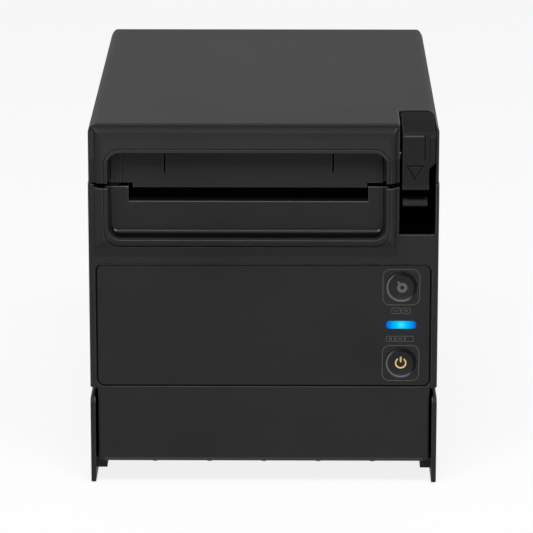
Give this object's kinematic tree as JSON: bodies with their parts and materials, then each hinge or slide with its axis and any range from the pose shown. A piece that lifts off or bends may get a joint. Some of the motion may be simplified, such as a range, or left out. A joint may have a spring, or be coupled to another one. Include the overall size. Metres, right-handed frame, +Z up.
{
  "type": "receipt printer",
  "caption": "Front-exit thermal receipt printer with a rear-hinged cover, paper slot, release lever, flush key panel and rear sockets.",
  "frame": {"origin": "on the ground plane, at the centre of the case's plan", "axes": "+Z up, +Y towards the rear sockets, so the paper slot faces -Y, and +X towards the lever's side"},
  "size_m": [0.126, 0.178, 0.135],
  "materials": {
    "case_plastic": "fine matte moulded texture",
    "panel_plastic": "fine matte moulded texture",
    "inner_plastic": "matte",
    "lens": "clear, lit from behind",
    "white_plastic": "smooth natural acetal",
    "board": "solder mask",
    "steel": "zinc plated sheet",
    "blade_steel": "ground",
    "black_steel": "black oxide",
    "screw_steel": "zinc plated",
    "socket_steel": "tinned shell",
    "motor_steel": "dark plated can",
    "aluminium": "black anodised extrusion",
    "ceramic": "glazed print line",
    "foot_rubber": "soft",
    "roller_rubber": "ground"
  },
  "bodies": {
    "case": {"main_case": "case_plastic", "bottom_chassis": "case_plastic", "rubber_feet": "foot_rubber", "case_screws": "screw_steel", "front_panel": "panel_plastic", "exit_panel": "panel_plastic", "status_lamp": "lens", "panel_board": "board", "paper_bunker": "inner_plastic", "paper_guide": "inner_plastic", "paper_sensor": "inner_plastic", "main_board": "board", "connector_plate": "inner_plastic", "dc_inlet": "inner_plastic", "usb_port": "socket_steel", "lan_port": "socket_steel", "drawer_port": "inner_plastic", "mech_frame": "steel", "gear_axles": "steel", "feed_motor": "motor_steel", "head_springs": "black_steel", "cutter_guides": "inner_plastic", "cutter_motor": "motor_steel", "lock_spring": "black_steel", "lever_axle": "steel", "hinge_pins": "steel"},
    "cover": {"top_cover": "case_plastic", "cover_liner": "inner_plastic", "exit_frame": "panel_plastic", "cutter_cover": "panel_plastic", "fixed_blade": "blade_steel", "platen_bracket": "steel", "platen_bushes": "white_plastic"},
    "platen": {"platen_shaft": "steel", "platen_roller": "roller_rubber", "platen_gear": "white_plastic"},
    "idler": {"idler_gear": "white_plastic"},
    "reduction": {"reduction_gear": "white_plastic"},
    "motor_gear": {"motor_pinion": "white_plastic"},
    "head": {"print_head": "ceramic", "heatsink": "aluminium"},
    "cutter": {"blade_carriage": "white_plastic", "moving_blade": "black_steel"},
    "cutter_drive": {"cutter_shaft": "white_plastic"},
    "cutter_gear": {"cutter_pinion": "white_plastic"},
    "lever": {"release_lever": "panel_plastic"},
    "lock": {"lock_plate": "black_steel"},
    "feed_button": {"feed_key": "panel_plastic"},
    "power_button": {"power_key": "panel_plastic"}
  },
  "joints": [
    {"name": "cover_hinge", "type": "hinge", "parent": "case", "child": "cover", "pos_m": [0, 0.078, 0.096], "axis": [-1, 0, 0], "range_deg": [0, 85]},
    {"name": "platen_spin", "type": "hinge", "parent": "cover", "child": "platen", "pos_m": [0, -0.062, 0.1168], "axis": [1, 0, 0], "continuous": true},
    {"name": "idler_spin", "type": "hinge", "parent": "case", "child": "idler", "pos_m": [-0.0545, -0.06395, 0.10375], "axis": [1, 0, 0], "continuous": true},
    {"name": "reduction_spin", "type": "hinge", "parent": "case", "child": "reduction", "pos_m": [-0.0545, -0.05614, 0.09719], "axis": [1, 0, 0], "continuous": true},
    {"name": "motor_spin", "type": "hinge", "parent": "case", "child": "motor_gear", "pos_m": [-0.0545, -0.04467, 0.08916], "axis": [1, 0, 0], "continuous": true},
    {"name": "head_pivot", "type": "hinge", "parent": "case", "child": "head", "pos_m": [-0.0054, -0.0505, 0.1065], "axis": [1, 0, 0], "range_deg": [0, 2.3], "stiffness_Nm_per_rad": 0.78, "springref_deg": -18.33, "deforming": ["head_springs"]},
    {"name": "cutter_slide", "type": "slide", "parent": "case", "child": "cutter", "axis": [0, 0, 1], "range_m": [0, 0.0075]},
    {"name": "cutter_shaft_spin", "type": "hinge", "parent": "case", "child": "cutter_drive", "pos_m": [-0.0054, -0.07, 0.08], "axis": [-1, 0, 0], "range_deg": [0, 120]},
    {"name": "cutter_motor_spin", "type": "hinge", "parent": "case", "child": "cutter_gear", "pos_m": [0.042, -0.06229, 0.07081], "axis": [1, 0, 0], "range_deg": [0, 360]},
    {"name": "lever_pivot", "type": "hinge", "parent": "case", "child": "lever", "pos_m": [0.0543, -0.054, 0.116], "axis": [1, 0, 0], "range_deg": [0, 9], "stiffness_Nm_per_rad": 0.3, "springref_deg": -28.65},
    {"name": "lock_pivot", "type": "hinge", "parent": "case", "child": "lock", "pos_m": [-0.0054, -0.057, 0.105], "axis": [1, 0, 0], "range_deg": [0, 10.3], "deforming": ["lock_spring"]},
    {"name": "feed_key_press", "type": "slide", "parent": "case", "child": "feed_button", "axis": [0, 1, 0], "range_m": [0, 0.0006], "stiffness_N_per_m": 1500, "springref_m": -0.0005},
    {"name": "power_key_press", "type": "slide", "parent": "case", "child": "power_button", "axis": [0, 1, 0], "range_m": [0, 0.0006], "stiffness_N_per_m": 1500, "springref_m": -0.0005}
  ],
  "couplings": [
    {"joint": "idler_spin", "follows": "platen_spin", "ratio": -1.2},
    {"joint": "reduction_spin", "follows": "platen_spin", "ratio": 1.7143},
    {"joint": "motor_spin", "follows": "platen_spin", "ratio": -6.2857},
    {"joint": "cutter_shaft_spin", "follows": "cutter_slide", "rad_per_m": 277.78},
    {"joint": "cutter_motor_spin", "follows": "cutter_slide", "rad_per_m": 833.33},
    {"joint": "lock_pivot", "follows": "lever_pivot", "ratio": 1.13}
  ]
}
